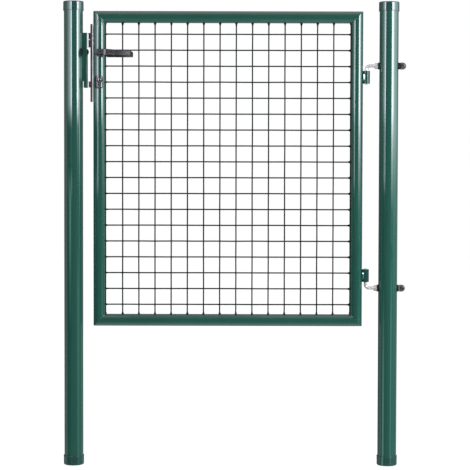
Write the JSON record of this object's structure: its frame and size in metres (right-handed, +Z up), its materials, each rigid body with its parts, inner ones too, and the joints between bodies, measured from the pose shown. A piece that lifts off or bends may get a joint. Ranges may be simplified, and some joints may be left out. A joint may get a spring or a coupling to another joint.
{
  "type": "pedestrian gate",
  "caption": "Garden gate: a welded-mesh leaf in a round-tube frame, hung between two capped round posts, with a lever lock and a profile cylinder.",
  "frame": {"origin": "centre of the flat foot of the hinge post's lower cap", "axes": "+Z up the posts; +X from the latch post towards the hinge post, so the leaf lies along -X; -Y is the front face and +Y is the side the leaf opens to"},
  "size_m": [1.0877, 0.096, 1.475],
  "materials": {
    "post_paint": "gloss moss-green powder coat",
    "leaf_paint": "gloss moss-green powder coat",
    "mesh_paint": "moss-green powder coat on galvanised wire",
    "cap_plastic": "moulded green plastic",
    "black_plastic": "moulded black plastic",
    "zinc_plate": "bright zinc plate",
    "forend_steel": "galvanised sheet",
    "cylinder_chrome": "satin nickel",
    "lever_plastic": "grained black plastic",
    "black_steel": "black oxide"
  },
  "bodies": {
    "posts": {"hinge_post": "post_paint", "latch_post": "post_paint", "hinge_post_top_cap": "cap_plastic", "hinge_post_foot_cap": "cap_plastic", "latch_post_top_cap": "cap_plastic", "latch_post_foot_cap": "cap_plastic", "upper_hinge_bolt": "zinc_plate", "lower_hinge_bolt": "zinc_plate", "upper_hinge_nut": "zinc_plate", "lower_hinge_nut": "zinc_plate", "upper_inner_washer": "zinc_plate", "lower_inner_washer": "zinc_plate", "upper_inner_saddle": "black_plastic", "lower_inner_saddle": "black_plastic", "upper_outer_saddle": "black_plastic", "lower_outer_saddle": "black_plastic", "upper_outer_washer": "black_steel", "lower_outer_washer": "black_steel", "upper_cap_nut": "black_plastic", "lower_cap_nut": "black_plastic", "strike_channel": "leaf_paint", "strike_tab": "zinc_plate", "strike_saddle": "black_plastic", "strike_bolt": "black_steel"},
    "leaf": {"top_rail": "leaf_paint", "bottom_rail": "leaf_paint", "lock_stile": "leaf_paint", "hinge_stile": "leaf_paint", "mesh_panel": "mesh_paint", "upper_hinge_barrel": "leaf_paint", "lower_hinge_barrel": "leaf_paint", "lock_forend": "forend_steel", "lock_case": "forend_steel", "lock_cylinder": "cylinder_chrome"},
    "handle": {"front_lever_neck": "lever_plastic", "front_lever_grip": "lever_plastic", "rear_lever_neck": "lever_plastic", "rear_lever_grip": "lever_plastic", "lever_spindle": "zinc_plate"},
    "latch": {"latch_bolt": "black_steel"},
    "deadbolt": {"dead_bolt": "black_steel"},
    "core": {"cylinder_plug": "cylinder_chrome"}
  },
  "joints": [
    {"name": "gate_swing", "type": "hinge", "parent": "posts", "child": "leaf", "pos_m": [-0.071, 0, 0.921], "axis": [0, 0, -1], "range_deg": [0, 100]},
    {"name": "handle_turn", "type": "hinge", "parent": "leaf", "child": "handle", "pos_m": [-0.9155, 0, 1.31], "axis": [0, 1, 0], "range_deg": [0, 40], "stiffness_Nm_per_rad": 1.5, "springref_deg": -22.92},
    {"name": "latch_slide", "type": "slide", "parent": "leaf", "child": "latch", "axis": [1, 0, 0], "range_m": [0, 0.011]},
    {"name": "key_turn", "type": "hinge", "parent": "leaf", "child": "core", "pos_m": [-0.9155, 0, 1.225], "axis": [0, 1, 0], "range_deg": [0, 360]},
    {"name": "deadbolt_throw", "type": "slide", "parent": "leaf", "child": "deadbolt", "axis": [-1, 0, 0], "range_m": [0, 0.012]}
  ],
  "couplings": [
    {"joint": "latch_slide", "follows": "handle_turn", "m_per_rad": 0.0157},
    {"joint": "key_turn", "follows": "deadbolt_throw", "rad_per_m": 523.5}
  ]
}
